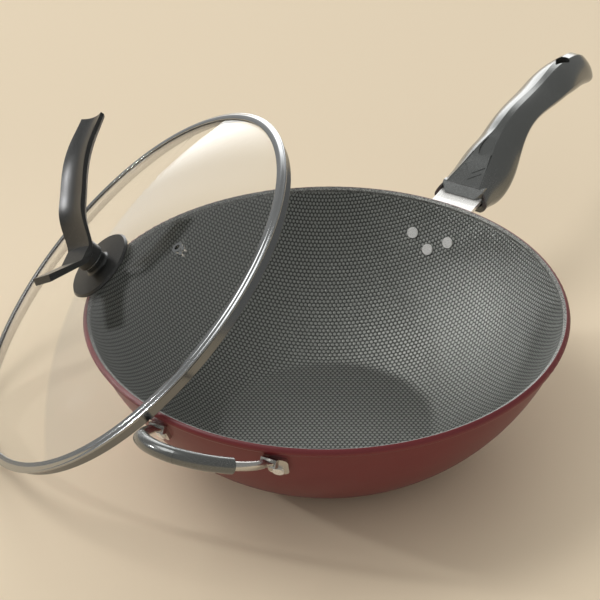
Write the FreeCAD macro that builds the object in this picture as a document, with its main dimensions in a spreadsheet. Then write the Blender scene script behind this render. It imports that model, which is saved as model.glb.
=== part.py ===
import FreeCAD, Part
import math
import os
import re
import Sketcher

# A hand wok: a deep round bowl with a long moulded handle on one side, a
# small wire helper handle opposite it, and a domed glass lid that leans
# against the rim.  The origin is the middle of the bowl's base, on the
# table, with +X along the long handle and +Z up.  Everything is in mm.

SIZES = {
    # bowl
    "rim_radius": 163,
    "rim_height": 100,
    "lip_width": 5.2,
    "lip_drop": 3,
    "bead_height": 5.8,
    "lip_slope": 1.3,
    "wall_bend": 160,
    "wall_thickness": 3,
    "floor_radius": 74,
    "floor_thickness": 3.5,
    "floor_blend": 14,
    "ring_count": 5,
    "ring_pitch": 12,
    "ring_width": 7,
    "ring_depth": 0.5,
    "foot_width": 5,
    # rivets through the wall
    "rivet_head_radius": 4,
    "rivet_head_height": 1,
    "rivet_seat_depth": 0.2,
    "rivet_radius": 2.4,
    "rivet_fit": 0.05,
    "rivet_tail_radius": 3.7,
    "rivet_tail_height": 1.6,
    "rivet_spread": 5.5,
    "rivet_upper_drop": 24.4,
    "rivet_lower_drop": 32.5,
    # bracket of the long handle
    "flange_thickness": 2.5,
    "flange_spread": 6.4,
    "flange_top_drop": 7.3,
    "flange_bottom_drop": 47.3,
    "strip_width": 33,
    "strip_thickness": 3,
    "strip_root_rise": -15.6,
    "strip_knee_along": 24,
    "strip_knee_rise": -13.8,
    "strip_end_along": 78,
    "strip_end_rise": -8.6,
    "strip_taper_along": 44,
    "tang_along": 56,
    "tang_width": 14,
    # long handle: stations along it, out from the rim
    "mouth_along": 29,
    "mouth_rise": -10.3,
    "mouth_deep": 12,
    "mouth_half": 21.6,
    "mouth_panel": 14.2,
    "lip_along": 39,
    "lip_rise": -5.6,
    "lip_back": 1.9,
    "lip_deep": 17.4,
    "lip_half": 21.3,
    "lip_panel": 13.5,
    "collar_along": 58,
    "collar_rise": 1.7,
    "collar_deep": 29,
    "collar_half": 21.8,
    "collar_panel": 9.4,
    "belly_along": 80,
    "belly_rise": 9.8,
    "belly_deep": 29.6,
    "belly_half": 21.2,
    "belly_panel": 5.1,
    "rise_along": 95,
    "rise_rise": 13.3,
    "rise_deep": 24,
    "rise_half": 18.2,
    "rise_panel": 3,
    "throat_along": 109,
    "throat_rise": 17,
    "throat_deep": 17.8,
    "throat_half": 16.2,
    "throat_panel": 2.6,
    "neck_along": 135,
    "neck_rise": 19.1,
    "neck_deep": 13.2,
    "neck_half": 15.4,
    "neck_panel": 2.4,
    "palm_along": 170,
    "palm_rise": 20.6,
    "palm_deep": 16.4,
    "palm_half": 17.2,
    "palm_panel": 2.2,
    "ring_along": 205,
    "ring_rise": 21.6,
    "ring_deep": 22.8,
    "ring_half": 16.3,
    "ring_panel": 3,
    "tail_along": 228,
    "tail_rise": 15.5,
    "tail_deep": 23.4,
    "tail_half": 14.2,
    "tail_panel": 3.6,
    "nose_along": 233,
    "nose_rise": 12.5,
    "nose_deep": 21.8,
    "nose_half": 13,
    "nose_panel": 3.6,
    "tip_along": 237.8,
    "tip_rise": 7.7,
    "tip_deep": 17.2,
    "tip_half": 10.4,
    "tip_panel": 3,
    "mouth_lean": 0.42,
    "wide_share": 0.66,
    "foot_share": 0.7,
    "upper_bulge": 1.3,
    "lower_bulge": 0.72,
    "cavity_half": 17.6,
    "cavity_foot_half": 12.6,
    "cavity_roof": 3,
    "cavity_side_rise": -12.2,
    "cavity_floor": 2.2,
    "cavity_end_along": 50,
    "slot_side_gap": 1,
    "slot_end_gap": 4,
    "strip_gap": 0.05,
    # hang hole, a drop with its point towards the bowl
    "drop_point_along": 190.4,
    "drop_end_along": 208.6,
    "drop_radius": 5.4,
    # screw that holds the long handle to the bracket
    "screw_along": 66,
    "screw_radius": 2,
    "screw_head_radius": 3.8,
    "screw_head_height": 2.6,
    "screw_recess": 3.4,
    "screw_reach": 5.5,
    "insert_radius": 3,
    "insert_length": 5.5,
    "insert_lift": 0.8,
    "post_radius": 6.5,
    # helper handle
    "helper_azimuth": 182.8,
    "leg_angle": 14.4,
    "lug_angle": 15.8,
    "leg_drop": 11.4,
    "lug_spread": 2.5,
    "lug_thickness": 2.5,
    "lug_top_drop": 9,
    "lug_bottom_drop": 24.5,
    "lug_rivet_drop": 18.9,
    "lug_corner": 4,
    "socket_width": 11,
    "socket_height": 5.4,
    "socket_length": 3.3,
    "socket_root": 1.1,
    "helper_tilt": 26.4,
    "rod_radius": 3,
    "rod_leg": 12,
    "rod_corner": 42.4,
    "blade_width": 8,
    "blade_thickness": 2.4,
    "blade_foot": 0.8,
    "blade_along": 3.5,
    "blade_reach": 7,
    "rod_fit": 0.05,
    "sleeve_radius": 5.2,
    "sleeve_turn": 36,
    # lid
    "glass_edge_height": 1.5,
    "glass_thickness": 4,
    "glass_rim_gap": 1,
    "dome_height": 25.9,
    "bead_radius": 148.1,
    "bead_width": 4,
    "skirt_height": 8,
    "band_thickness": 0.9,
    "band_lip": 2.8,
    "bead_thickness": 3,
    "bead_round": 1.45,
    "band_gap": 0.1,
    "seal_foot": 1.7,
    "seal_foot_height": 0.9,
    "lean_azimuth": 127.7,
    "lean_angle": 42.84,
    "knob_turn": 232,
    "contact_azimuth": 170.1,
    # how far the lid's middle stands above the rim that it leans on
    "contact_rise": 4.147325,
    "slide_share": 0.8,
    "lean_gap_x": -5.2,
    "lean_gap_y": 10.1,
    "table_gap": 0.3,
    # steam vent
    "vent_distance": 75,
    "vent_azimuth": -87,
    "vent_flange_radius": 4,
    "vent_tube_radius": 3,
    "vent_bore_radius": 2,
    "vent_flange_height": 0.6,
    "vent_fit": 0.05,
    "pin_radius": 0.9,
    "pin_flange_radius": 1.4,
    "pin_distance": 80.7,
    "pin_azimuth": -89.85,
    "pin_spread": 1.35,
    # lid knob
    "glass_hole_radius": 4.2,
    "knob_disc_radius": 26,
    "knob_disc_height": 2.6,
    "knob_pad_height": 0.8,
    "knob_pad_radius": 18,
    "stem_radius": 8.5,
    "stem_height": 8.4,
    "stem_flare": 2,
    "collar_ring_radius": 9.2,
    "collar_ring_height": 1.1,
    "column_radius": 10,
    "seat_height": 21.2,
    "seat_thickness": 5,
    "seat_back": 12,
    "seat_front": 0.5,
    "knob_width": 24,
    "foot_length": 27.6,
    "foot_slope": 35,
    "foot_tip_width": 17,
    "knob_bolt_radius": 2.5,
    "knob_bolt_fit": 0.05,
    "knob_insert_radius": 4.5,
    "knob_insert_length": 9,
    "knob_bolt_head_radius": 4.6,
    "knob_bolt_head_height": 3.2,
    "knob_bolt_reach": 7,
    "inner_pad_radius": 11,
    "inner_pad_height": 1,
    "inner_washer_radius": 12,
    "inner_washer_height": 1,
    "spring_washer_radius": 4.9,
    "spring_washer_height": 1.2,
    "washer_hole_radius": 2.7,
    "arm_edge": 0.6,
    # long arm of the knob, stations from its middle
    "heel_along": -8,
    "heel_top": 21.2,
    "heel_deep": 5,
    "heel_half": 12.4,
    "heel_dish": 0.2,
    "bend_along": 0,
    "bend_top": 21.4,
    "bend_deep": 5.6,
    "bend_half": 12.8,
    "bend_dish": 0.6,
    "climb_along": 8,
    "climb_top": 29.4,
    "climb_deep": 6.6,
    "climb_half": 13.2,
    "climb_dish": 1.6,
    "arm_along": 28,
    "arm_top": 43.6,
    "arm_deep": 6.6,
    "arm_half": 13.4,
    "arm_dish": 2.2,
    "crest_along": 46,
    "crest_top": 51.2,
    "crest_deep": 6.4,
    "crest_half": 13.2,
    "crest_dish": 2.4,
    "level_along": 64,
    "level_top": 55.4,
    "level_deep": 6,
    "level_half": 12.8,
    "level_dish": 2.4,
    "end_along": 88,
    "end_top": 56.4,
    "end_deep": 5,
    "end_half": 12,
    "end_dish": 2.2,
    # marks on the long handle's flat panel
    "panel_slope": 20.5,
    "mark_depth": 0.5,
    "crease_width": 0.9,
    "crease_start": -3,
    "crease_end": 30,
    "crease_start_half": 13.9,
    "crease_end_half": 7.75,
    "chevron_along": 2.2,
    "chevron_pitch": 6,
    "chevron_reach": 8.6,
    "chevron_half": 8,
    "chevron_width": 1,
    "oval_along": 38,
    "oval_half": 8.5,
    "oval_end": 3,
    "oval_side_bend": 22,
    "oval_end_bend": 3.6,
    # the lip's tongue over the strip
    "tongue_along": 30.8,
    "tongue_half": 12,
    "tongue_root_half": 16.6,
    "tongue_corner_along": 35.6,
    "tongue_edge": 0.6,
}

doc = FreeCAD.newDocument("hand_wok")
size = doc.addObject("Spreadsheet::Sheet", "size")
for row, (alias, value) in enumerate(SIZES.items(), start=1):
    size.set(f"A{row}", alias)
    size.set(f"B{row}", str(value))
    size.setAlias(f"B{row}", alias)
doc.recompute()

# Lengths worked out once from the driving sizes and used by many pieces.
form = doc.addObject("App::VarSet", "form")
derived = []


def bind(text):
    """An expression in plain names, with each name led back to its object."""
    def lead(match):
        word = match.group(0)
        if word in SIZES:
            return "size." + word
        if word in derived:
            return "form." + word
        return word
    return re.sub(r"[A-Za-z_]\w*", lead, str(text))


def number(text):
    """The value of an expression now, as a plain number."""
    value = size.evalExpression(bind(text))
    return float(getattr(value, "Value", value))


def derive(name, text):
    """Keep a worked-out length under a name of its own."""
    form.addProperty("App::PropertyFloat", name)
    form.setExpression(name, bind(text))
    derived.append(name)
    form.recompute()


# The bowl's wall is an arc through the floor's edge and the lip.
derive("rise_out", "rim_radius-lip_width-floor_radius")
derive("rise_up", "rim_height-lip_drop-floor_thickness")
derive("chord", "sqrt(rise_out^2+rise_up^2)")
derive("sagitta_arm", "sqrt(wall_bend^2-chord^2/4)")
derive("centre_out", "floor_radius+rise_out/2-sagitta_arm*rise_up/chord")
derive("centre_up", "floor_thickness+rise_up/2+sagitta_arm*rise_out/chord")
derive("outer_bend", "wall_bend+wall_thickness")
derive("base_radius", "centre_out+sqrt(outer_bend^2-centre_up^2)")
derive("flange_bend", "outer_bend+flange_thickness")
derive("lug_bend", "outer_bend+lug_thickness")
# The glass is a cap of a sphere centred below the lid; the rim's bead
# sets the skirt, and the skirt sets the glass.
derive("skirt_radius", "bead_radius-bead_width")
derive("band_bore", "skirt_radius-band_thickness")
derive("glass_radius", "band_bore-glass_rim_gap")
derive("dome_rise", "dome_height-glass_edge_height")
derive("glass_bend", "(glass_radius^2+dome_rise^2)/(2*dome_rise)")
derive("glass_centre", "dome_height-glass_bend")
derive("glass_inner_bend", "glass_bend-glass_thickness")
derive("knob_under", "dome_height+knob_pad_height")


def plane(body, role):
    return next(f for f in body.Origin.OriginFeatures if f.Role == role)


def new_body(label, placement=None, several=False):
    body = doc.addObject("PartDesign::Body", label)
    body.Label = label
    if several:
        body.AllowCompound = True
    if placement:
        body.setExpression("Placement", bind(placement))
    return body


def new_sketch(body, name, role, offset=None, turn=None):
    """A sketch on one of the body's own planes, moved along its normal by
    the offset, or turned about its upright axis."""
    sketch = body.newObject("Sketcher::SketchObject", name)
    sketch.AttachmentSupport = [(plane(body, role), "")]
    sketch.MapMode = "FlatFace"
    if offset is not None:
        sketch.setExpression(".AttachmentOffset.Base.z", bind(offset))
    if turn is not None:
        sketch.AttachmentOffset = FreeCAD.Placement(FreeCAD.Vector(), FreeCAD.Rotation(FreeCAD.Vector(0, 1, 0), 1))
        sketch.setExpression(".AttachmentOffset.Rotation.Angle", bind(turn))
    return sketch


def fix_value(sketch, kind, place, text, name):
    """A dimension bound to an expression; a point on an axis is tied to it."""
    value = number(text)
    if kind != "Radius" and abs(value) < 1e-9:
        axis = -2 if kind == "DistanceX" else -1
        sketch.addConstraint(Sketcher.Constraint("PointOnObject", place[0], place[1], axis))
        return
    index = sketch.addConstraint(Sketcher.Constraint(kind, *place, value))
    sketch.renameConstraint(index, name)
    sketch.setExpression("Constraints." + name, bind(text))


def add_outline(sketch, corners, arcs=None, tag=""):
    """A closed outline through the corners.  An edge is straight, or an
    arc of the given radius with its centre to the left of the way round,
    or to the right where the radius is led by a minus sign."""
    arcs = arcs or {}
    spots = [FreeCAD.Vector(number(x), number(y), 0) for x, y in corners]
    count = len(corners)
    ends = []
    for k in range(count):
        start, stop = spots[k], spots[(k + 1) % count]
        if k not in arcs:
            geometry = sketch.addGeometry(Part.LineSegment(start, stop), False)
            ends.append((geometry, 1, 2))
            continue
        left = not arcs[k].startswith("-")
        radius = number(arcs[k].lstrip("-"))
        along = stop - start
        side = FreeCAD.Vector(-along.y, along.x, 0).normalize() * (1 if left else -1)
        arm = max(radius ** 2 - along.Length ** 2 / 4, 0) ** 0.5
        centre = start + along / 2 + side * arm
        first, last = (start, stop) if left else (stop, start)
        circle = Part.Circle(centre, FreeCAD.Vector(0, 0, 1), radius)
        low = circle.parameter(first)
        high = circle.parameter(last)
        if high < low:
            high += math.tau
        geometry = sketch.addGeometry(Part.ArcOfCircle(circle, low, high), False)
        ends.append((geometry, 1, 2) if left else (geometry, 2, 1))
    for k in range(count):
        here, after = ends[k], ends[(k + 1) % count]
        sketch.addConstraint(Sketcher.Constraint("Coincident", here[0], here[2], after[0], after[1]))
    for k, (x, y) in enumerate(corners):
        place = (ends[k][0], ends[k][1])
        fix_value(sketch, "DistanceX", place, x, f"across{tag}_{k}")
        fix_value(sketch, "DistanceY", place, y, f"up{tag}_{k}")
        if k in arcs:
            fix_value(sketch, "Radius", (ends[k][0],), arcs[k].lstrip("-"), f"bend{tag}_{k}")


def add_circle(sketch, x, y, radius, tag=""):
    centre = FreeCAD.Vector(number(x), number(y), 0)
    circle = sketch.addGeometry(Part.Circle(centre, FreeCAD.Vector(0, 0, 1), number(radius)), False)
    fix_value(sketch, "DistanceX", (circle, 3), x, f"across{tag}")
    fix_value(sketch, "DistanceY", (circle, 3), y, f"up{tag}")
    fix_value(sketch, "Radius", (circle,), radius, f"bend{tag}")


def revolve(body, name, sketch, kind="PartDesign::Revolution", angle=None):
    """Turn a sketch about its upright axis: all the way, or to both sides."""
    feature = body.newObject(kind, name)
    feature.Profile = sketch
    feature.ReferenceAxis = (sketch, ["V_Axis"])
    feature.Angle = 360
    if angle is not None:
        feature.Midplane = True
        feature.setExpression("Angle", bind(angle))
    doc.recompute()
    return feature


def push(body, name, sketch, length, kind="PartDesign::Pad", both=True):
    """A pad or pocket of a sketch, to both sides of its plane."""
    feature = body.newObject(kind, name)
    feature.Profile = sketch
    feature.Midplane = both
    feature.setExpression("Length", bind(length))
    doc.recompute()
    return feature


def push_up(body, name, sketch, length):
    """A pocket that runs up from its sketch, along the sketch's normal."""
    feature = body.newObject("PartDesign::Pocket", name)
    feature.Profile = sketch
    feature.Reversed = True
    feature.setExpression("Length", bind(length))
    doc.recompute()
    return feature


def box(body, name, length, width, height, placement, cut=False):
    feature = body.newObject("PartDesign::SubtractiveBox" if cut else "PartDesign::AdditiveBox", name)
    feature.setExpression("Length", bind(length))
    feature.setExpression("Width", bind(width))
    feature.setExpression("Height", bind(height))
    feature.setExpression("Placement", bind(placement))
    doc.recompute()
    return feature


def cylinder(body, name, radius, height, placement, cut=False):
    kind = "PartDesign::SubtractiveCylinder" if cut else "PartDesign::AdditiveCylinder"
    feature = body.newObject(kind, name)
    feature.setExpression("Radius", bind(radius))
    feature.setExpression("Height", bind(height))
    feature.setExpression("Placement", bind(placement))
    doc.recompute()
    return feature


def wall_angle(drop, bend="wall_bend"):
    """The angle below level, from the wall arc's centre, of the point on
    an arc about it that lies this far below the rim."""
    return f"asin((centre_up-rim_height+{drop})/{bend})"


def on_wall(azimuth, angle, distance):
    """A place on the line that leaves the wall arc's centre at an angle
    below level, with its own Z axis pointing out through the wall."""
    reach = f"(centre_out+({distance})*cos({angle}))"
    up = f"(centre_up-({distance})*sin({angle}))"
    return (f"placement(vector({reach}*cos({azimuth}); {reach}*sin({azimuth}); {up}); "
            f"rotation({azimuth}; 90 deg+{angle}; 0))")


def on_glass(azimuth, distance, height):
    """A place on the glass, a height above its upper face and along its
    normal, in the lid's own frame."""
    tilt = f"asin(({distance})/glass_bend)"
    reach = f"((glass_bend+({height}))*({distance})/glass_bend)"
    up = f"(glass_centre+(glass_bend+({height}))*cos({tilt}))"
    return (f"placement(vector({reach}*cos({azimuth}); {reach}*sin({azimuth}); {up}); "
            f"rotation({azimuth}; {tilt}; 0))")


def upright(x, y, z):
    return f"placement(vector({x}; {y}; {z}); rotation(0; 0; 0))"


# ---------------------------------------------------------------- bowl
UPPER_RIVET = wall_angle("rivet_upper_drop")
LUG_RIVET = wall_angle("lug_rivet_drop")
HANDLE_RIVETS = [("-rivet_spread", UPPER_RIVET), ("rivet_spread", UPPER_RIVET),
                 ("0", wall_angle("rivet_lower_drop"))]
HELPER_RIVETS = [("helper_azimuth-lug_angle", LUG_RIVET), ("helper_azimuth+lug_angle", LUG_RIVET)]

wok_pan = new_body("wok_pan")
profile = new_sketch(wok_pan, "pan_profile", "XZ_Plane")
bead_low = "(rim_height-bead_height)"
bead_in = "(centre_out+sqrt(outer_bend^2-(centre_up-rim_height+bead_height)^2))"
add_outline(profile, [
    ("0", "0"),
    ("base_radius", "0"),
    (bead_in, bead_low),
    ("rim_radius", "rim_height-bead_height/2"),
    ("rim_radius-lip_width/2", "rim_height"),
    ("rim_radius-lip_width+0.3", "rim_height-lip_slope"),
    ("rim_radius-lip_width", "rim_height-lip_drop"),
    ("floor_radius", "floor_thickness"),
    ("0", "floor_thickness"),
], arcs={1: "outer_bend", 2: "bead_height*0.56", 3: "bead_height*0.56", 6: "-wall_bend"})
revolve(wok_pan, "pan_turned", profile)


def circle_edges(shape, radius, height):
    """Names of the round edges of that radius about the Z axis there."""
    names = []
    for k, edge in enumerate(shape.Edges, start=1):
        round_edge = isinstance(edge.Curve, Part.Circle)
        if round_edge and abs(edge.Curve.Radius - radius) < 0.01 and abs(edge.Curve.Center.z - height) < 0.01:
            names.append(f"Edge{k}")
    return names


def fillet(body, name, edges, radius):
    base = body.Tip
    feature = body.newObject("PartDesign::Fillet", name)
    feature.Base = (base, edges)
    feature.setExpression("Radius", bind(radius))
    doc.recompute()
    return feature


pan_shape = wok_pan.Tip.Shape
fillet(wok_pan, "floor_blend_inside", circle_edges(pan_shape, number("floor_radius"), number("floor_thickness")),
       "floor_blend")
pan_shape = wok_pan.Tip.Shape
fillet(wok_pan, "floor_blend_outside", circle_edges(pan_shape, number("base_radius"), 0), "floor_blend/2")

# Shallow rings turned into the underside leave a foot ring at the edge.
rings = new_sketch(wok_pan, "ring_profile", "XZ_Plane")
for k in range(int(number("ring_count"))):
    outer = f"(base_radius-floor_blend/4-foot_width-{k}*ring_pitch)"
    add_outline(rings, [
        (f"{outer}-ring_width", "0"),
        (outer, "0"),
        (f"{outer}-ring_depth", "ring_depth"),
        (f"{outer}-ring_width+ring_depth", "ring_depth"),
    ], tag=f"_{k}_")
uncut = wok_pan.Tip.Shape.Volume
revolve(wok_pan, "base_rings", rings, kind="PartDesign::Groove")
if wok_pan.Tip.Shape.Volume >= uncut:
    raise ValueError("the base rings cut nothing")

for k, (azimuth, angle) in enumerate(HANDLE_RIVETS + HELPER_RIVETS):
    cylinder(wok_pan, f"rivet_hole_{k}", "rivet_radius+rivet_fit", "wall_thickness*4",
             on_wall(azimuth, angle, "wall_bend-wall_thickness"), cut=True)
    cylinder(wok_pan, f"rivet_seat_{k}", "rivet_head_radius+rivet_fit", "wall_thickness+rivet_seat_depth",
             on_wall(azimuth, angle, "wall_bend-wall_thickness"), cut=True)


def add_rivets(body, places, plate_bend):
    """Flat-headed rivets: head in the bowl, shank, upset tail outside."""
    for k, (azimuth, angle) in enumerate(places):
        head_foot = "wall_bend-rivet_head_height"
        cylinder(body, f"head_{k}", "rivet_head_radius", "rivet_head_height+rivet_seat_depth",
                 on_wall(azimuth, angle, head_foot))
        cylinder(body, f"shank_{k}", "rivet_radius", f"{plate_bend}-wall_bend+rivet_tail_height",
                 on_wall(azimuth, angle, "wall_bend"))
        cylinder(body, f"tail_{k}", "rivet_tail_radius", "rivet_tail_height",
                 on_wall(azimuth, angle, plate_bend))


handle_rivets = new_body("handle_rivets", several=True)
add_rivets(handle_rivets, HANDLE_RIVETS, "flange_bend")

# ------------------------------------------------ bracket of the handle
handle_bracket = new_body("handle_bracket")
flange = new_sketch(handle_bracket, "flange_profile", "XZ_Plane")


def wall_corner(bend, angle):
    return (f"centre_out+{bend}*cos({angle})", f"centre_up-{bend}*sin({angle})")


flange_top = wall_angle("flange_top_drop", "outer_bend")
flange_bottom = wall_angle("flange_bottom_drop", "outer_bend")
add_outline(flange, [
    wall_corner("outer_bend", flange_bottom),
    wall_corner("flange_bend", flange_bottom),
    wall_corner("flange_bend", flange_top),
    wall_corner("outer_bend", flange_top),
], arcs={1: "flange_bend", 3: "-outer_bend"})
revolve(handle_bracket, "flange", flange, angle="2*flange_spread")

# The strip leaves the flange below the rim and narrows to a tang.
strip = new_sketch(handle_bracket, "strip_profile", "XZ_Plane")
root_bury = "flange_thickness*0.6"
strip_root = "(rim_height+strip_root_rise)"
strip_knee = "(rim_height+strip_knee_rise)"
strip_end = "(rim_height+strip_end_rise)"
root_top_out = f"(centre_out+sqrt(outer_bend^2-(centre_up-{strip_root})^2)+{root_bury})"
root_low_out = f"(centre_out+sqrt(outer_bend^2-(centre_up-{strip_root}+strip_thickness)^2)+{root_bury})"
knee_out = "(rim_radius+strip_knee_along)"
end_out = "(rim_radius+strip_end_along)"
add_outline(strip, [
    (root_low_out, f"{strip_root}-strip_thickness"),
    (knee_out, f"{strip_knee}-strip_thickness"),
    (end_out, f"{strip_end}-strip_thickness"),
    (end_out, strip_end),
    (knee_out, strip_knee),
    (root_top_out, strip_root),
])
push(handle_bracket, "strip", strip, "strip_width")
taper = new_sketch(handle_bracket, "tang_taper", "XY_Plane")
for side, sign in (("left", ""), ("right", "-")):
    add_outline(taper, [
        ("rim_radius+strip_taper_along", f"{sign}strip_width*0.5"),
        ("rim_radius+tang_along", f"{sign}tang_width*0.5"),
        (f"{end_out}+1", f"{sign}tang_width*0.5"),
        (f"{end_out}+1", f"{sign}strip_width*0.6"),
        ("rim_radius+strip_taper_along", f"{sign}strip_width*0.6"),
    ], tag=f"_{side}_")
push(handle_bracket, "tang_sides", taper, "rim_height*4", kind="PartDesign::Pocket")
for k, (azimuth, angle) in enumerate(HANDLE_RIVETS):
    cylinder(handle_bracket, f"flange_hole_{k}", "rivet_radius+rivet_fit", "wall_thickness*4",
             on_wall(azimuth, angle, "wall_bend"), cut=True)
screw_x = "(rim_radius+screw_along)"
cylinder(handle_bracket, "strip_hole", "screw_radius+rivet_fit", "strip_thickness*8",
         upright(screw_x, "0", f"{strip_end}-strip_thickness*6"), cut=True)

# ------------------------------------------------ long moulded handle
STATIONS = ["mouth", "lip", "collar", "belly", "rise", "throat", "neck", "palm", "ring", "tail", "nose", "tip"]

handle_grip = new_body("handle_grip")
sections = []
for station in STATIONS:
    section = new_sketch(handle_grip, f"{station}_section", "YZ_Plane", offset=f"rim_radius+{station}_along")
    top = f"(rim_height+{station}_rise)"
    floor = f"({top}-{station}_deep)"
    half = f"{station}_half"
    panel = f"{station}_panel"
    wide = f"({top}-{station}_deep*wide_share)"
    foot = f"({station}_half*foot_share)"
    upper = f"upper_bulge*sqrt(({half}-{panel})^2+({top}-{wide})^2)"
    lower = f"lower_bulge*sqrt(({half}-{foot})^2+({wide}-{floor})^2)"
    add_outline(section, [
        (f"-{foot}", floor), (foot, floor), (half, wide),
        (panel, top), (f"-{panel}", top), (f"-{half}", wide),
    ], arcs={1: lower, 2: upper, 4: upper, 5: lower})
    sections.append(section)
grip = handle_grip.newObject("PartDesign::AdditiveLoft", "grip_loft")
grip.Profile = sections[0]
grip.Sections = sections[1:]
doc.recompute()

# The mouth's face leans back from its lower lip to its upper one.
lip_top = "(rim_height+lip_rise)"
lip_floor = f"({lip_top}-lip_deep)"
mouth = new_sketch(handle_grip, "mouth_face", "XZ_Plane")
add_outline(mouth, [
    ("rim_radius", f"{lip_floor}-lip_deep"),
    ("rim_radius+lip_along-lip_back-2*lip_deep*mouth_lean", f"{lip_floor}-lip_deep"),
    ("rim_radius+lip_along-lip_back+lip_deep*mouth_lean", f"{lip_top}+lip_deep"),
    ("rim_radius", f"{lip_top}+lip_deep"),
])
push(handle_grip, "mouth_cut", mouth, "lip_half*4", kind="PartDesign::Pocket")


def strip_top(along):
    """Height of the strip's upper face, that far out from the rim."""
    rise = "((strip_end_rise-strip_knee_rise)/(strip_end_along-strip_knee_along))"
    return f"({strip_knee}+({along}-strip_knee_along)*{rise})"


# The open mouth is wider and deeper than the strip that it takes.
cavity = new_sketch(handle_grip, "mouth_cavity", "YZ_Plane", offset="rim_radius+mouth_along")
cavity_side = "(rim_height+cavity_side_rise)"
add_outline(cavity, [
    ("-cavity_foot_half", f"{lip_floor}+cavity_floor"),
    ("cavity_foot_half", f"{lip_floor}+cavity_floor"),
    ("cavity_half", f"{lip_floor}+lip_deep*(1-wide_share)"),
    ("cavity_half", cavity_side),
    ("cavity_foot_half", f"{lip_top}-cavity_roof"),
    ("-cavity_foot_half", f"{lip_top}-cavity_roof"),
    ("-cavity_half", cavity_side),
    ("-cavity_half", f"{lip_floor}+lip_deep*(1-wide_share)"),
])
push(handle_grip, "mouth_hollow", cavity, "2*(cavity_end_along-mouth_along)", kind="PartDesign::Pocket")

# Behind the hollow, a slot as wide as the strip takes its shoulders, and
# a narrow one takes the tang.


def add_slot(name, first, last, width):
    slot = new_sketch(handle_grip, name, "XZ_Plane")
    add_outline(slot, [
        (f"rim_radius+{first}", f"{strip_top(first)}-strip_thickness-strip_gap"),
        (f"rim_radius+{last}", f"{strip_top(last)}-strip_thickness-strip_gap"),
        (f"rim_radius+{last}", f"{strip_top(last)}+strip_gap"),
        (f"rim_radius+{first}", f"{strip_top(first)}+strip_gap"),
    ])
    push(handle_grip, f"{name}_cut", slot, width, kind="PartDesign::Pocket")


add_slot("shoulder_slot", "(cavity_end_along-1)", "(tang_along+slot_end_gap)", "strip_width-2*slot_side_gap")
add_slot("tang_slot", "(cavity_end_along-1)", "(strip_end_along+slot_end_gap)", "tang_width+2*slot_side_gap")
strip_over_screw = strip_top("screw_along")
screw_seat = "(rim_height+collar_rise-collar_deep+screw_recess)"
cylinder(handle_grip, "screw_recess_hole", "screw_head_radius+0.6", "screw_recess+8",
         upright(screw_x, "0", f"{screw_seat}-screw_recess-8"), cut=True)
cylinder(handle_grip, "screw_hole", "screw_radius+rivet_fit", f"{strip_over_screw}-{screw_seat}+1",
         upright(screw_x, "0", f"{screw_seat}-0.5"), cut=True)
cylinder(handle_grip, "insert_hole", "insert_radius+rivet_fit", "insert_length+insert_lift+2.5",
         upright(screw_x, "0", f"{strip_over_screw}-2"), cut=True)

handle_screw = new_body("handle_screw")
cylinder(handle_screw, "head", "screw_head_radius", "screw_head_height",
         upright(screw_x, "0", f"{screw_seat}-screw_head_height"))
cylinder(handle_screw, "shank", "screw_radius", f"{strip_over_screw}-{screw_seat}+screw_reach",
         upright(screw_x, "0", screw_seat))
handle_insert = new_body("handle_insert")
insert_foot = f"({strip_over_screw}+insert_lift)"
cylinder(handle_insert, "sleeve", "insert_radius", "insert_length", upright(screw_x, "0", insert_foot))
cylinder(handle_insert, "bore", "screw_radius+rivet_fit", "insert_length+2",
         upright(screw_x, "0", f"{insert_foot}-1"), cut=True)

# The hang hole: a drop with its point towards the bowl.
drop = new_sketch(handle_grip, "hang_hole_outline", "XY_Plane")
drop_middle = "(drop_end_along-drop_radius)"
drop_span = f"({drop_middle}-drop_point_along)"
drop_x = f"(rim_radius+{drop_middle}-drop_radius^2/{drop_span})"
drop_y = f"(drop_radius*sqrt(1-(drop_radius/{drop_span})^2))"
add_outline(drop, [
    ("rim_radius+drop_point_along", "0"),
    (drop_x, f"-{drop_y}"),
    ("rim_radius+drop_end_along", "0"),
    (drop_x, drop_y),
], arcs={1: "drop_radius", 2: "drop_radius"})
uncut = handle_grip.Tip.Shape.Volume
push(handle_grip, "hang_hole", drop, "rim_height*4", kind="PartDesign::Pocket")
if handle_grip.Tip.Shape.Volume >= uncut:
    raise ValueError("the hang hole cut nothing")

# The lip's tongue slopes forward and down onto the strip, and its front
# corners are cut back.
tongue = new_sketch(handle_grip, "tongue_profile", "XZ_Plane")
tongue_foot = f"({strip_top('tongue_along')}+strip_gap)"
add_outline(tongue, [
    ("rim_radius+tongue_along", tongue_foot),
    ("rim_radius+lip_along+cavity_roof", f"{lip_top}-cavity_roof*2"),
    ("rim_radius+lip_along+cavity_roof", f"{lip_top}-cavity_roof/2"),
    ("rim_radius+lip_along-lip_back", f"{lip_top}-lip_back*tan(panel_slope)"),
    ("rim_radius+tongue_along", f"{tongue_foot}+tongue_edge"),
])
push(handle_grip, "tongue", tongue, "2*tongue_root_half")
corners = new_sketch(handle_grip, "tongue_corners", "XY_Plane", offset=f"({tongue_foot}-1)")
for side, sign in (("left", ""), ("right", "-")):
    add_outline(corners, [
        ("rim_radius+tongue_along-1", f"{sign}tongue_half"),
        ("rim_radius+tongue_along", f"{sign}tongue_half"),
        ("rim_radius+tongue_corner_along", f"{sign}tongue_root_half"),
        ("rim_radius+tongue_corner_along", f"{sign}(tongue_root_half+0.2)"),
        ("rim_radius+tongue_along-1", f"{sign}(tongue_root_half+0.2)"),
    ], tag=f"_{side}_")
push_up(handle_grip, "tongue_corner_cut", corners, "lip_deep")

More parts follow.
